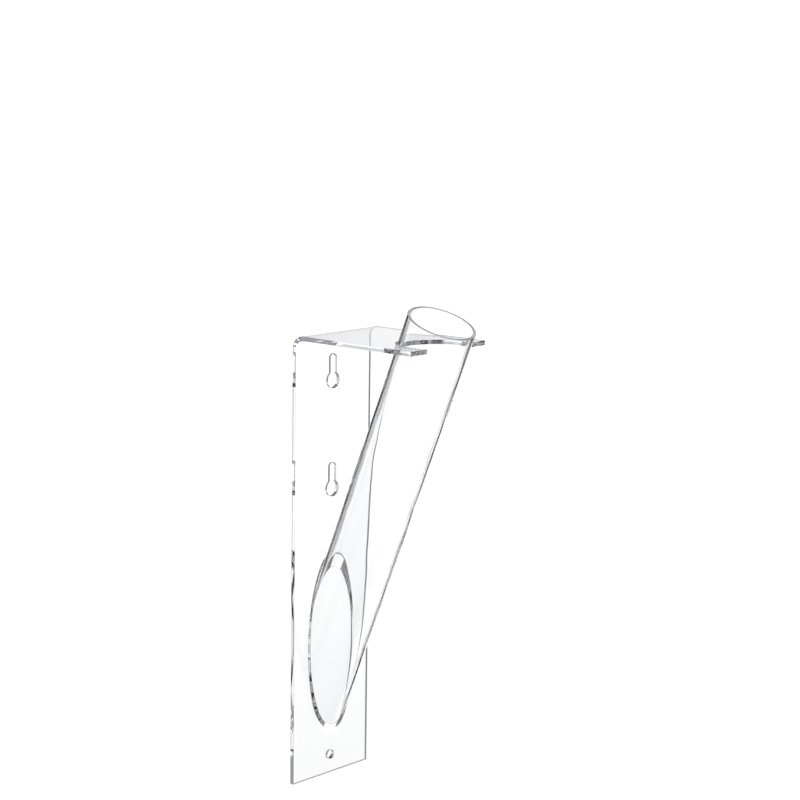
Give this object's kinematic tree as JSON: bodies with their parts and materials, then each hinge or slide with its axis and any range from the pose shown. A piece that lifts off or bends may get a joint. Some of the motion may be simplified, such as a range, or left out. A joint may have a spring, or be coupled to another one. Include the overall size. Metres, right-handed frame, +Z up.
{
  "type": "wall-hung tube vase",
  "caption": "Clear acrylic wall vase: an open tube leans forward through the notched shelf of a bent sheet bracket with keyholes, its mitred foot cemented to the back plate.",
  "frame": {"origin": "middle of the back plate's wall face", "axes": "+Z up, +Y into the wall, -Y the front that the tube leans towards, X across"},
  "size_m": [0.0716, 0.1155, 0.3223],
  "materials": {
    "clear_sheet": "clear polished acrylic sheet",
    "clear_tube": "clear polished acrylic tube",
    "cement": "clear acrylic cement with small bubbles"
  },
  "bodies": {
    "root": {"bracket": "clear_sheet", "tube": "clear_tube", "foot_seam": "cement"}
  },
  "joints": []
}
